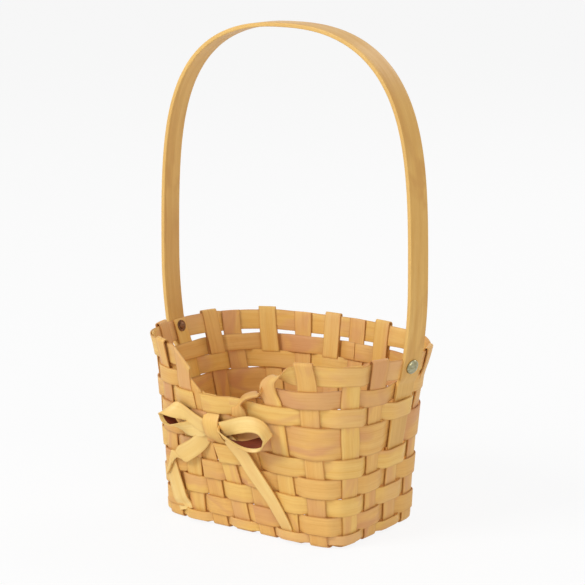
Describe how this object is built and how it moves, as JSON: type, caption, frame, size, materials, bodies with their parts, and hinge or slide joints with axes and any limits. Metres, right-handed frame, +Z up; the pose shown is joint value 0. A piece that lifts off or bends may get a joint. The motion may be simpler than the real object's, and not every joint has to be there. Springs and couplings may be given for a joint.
{
  "type": "foraging basket",
  "caption": "Small oval basket woven from thin wood splint, with a tall bent-wood handle riveted to the rim, a notch in the front rim and a splint bow.",
  "frame": {"origin": "centre of the whole basket's box in plan, at the ground under the base", "axes": "+X to the right along the handle, -Y the front with the notch and the bow, +Z up"},
  "size_m": [0.2328, 0.1674, 0.375],
  "materials": {
    "splint_pale": "bare planed splint, pale straw colour, satin, fine lengthwise grain",
    "splint_warm": "bare planed splint, warmer and pinker, satin, fine lengthwise grain",
    "ribbon": "thin bare splint ribbon, palest straw colour, satin",
    "handle_wood": "bent strap of bare wood, light brown, satin, straight grain",
    "rivet_metal": "aged nickel-plated steel, slightly dull"
  },
  "bodies": {
    "root": {"bow_loops": "ribbon", "bow_tails": "ribbon", "cross_splint_1": "splint_warm", "cross_splint_2": "splint_pale", "cross_splint_3": "splint_warm", "cross_splint_4": "splint_pale", "cross_splint_5": "splint_warm", "cross_splint_6": "splint_pale", "cross_splint_7": "splint_warm", "handle": "handle_wood", "long_splint_1": "splint_pale", "long_splint_2": "splint_warm", "long_splint_3": "splint_pale", "long_splint_4": "splint_warm", "rivet_left": "rivet_metal", "rivet_right": "rivet_metal", "rivet_washer_left": "rivet_metal", "rivet_washer_right": "rivet_metal", "weaver_row_3": "splint_pale", "weaver_row_4": "splint_warm", "weaver_row_5": "splint_pale", "weaver_row_6": "splint_warm", "weaver_row_7": "splint_pale", "weaver_row_8": "splint_warm", "weaver_row_9": "splint_pale"}
  },
  "joints": []
}
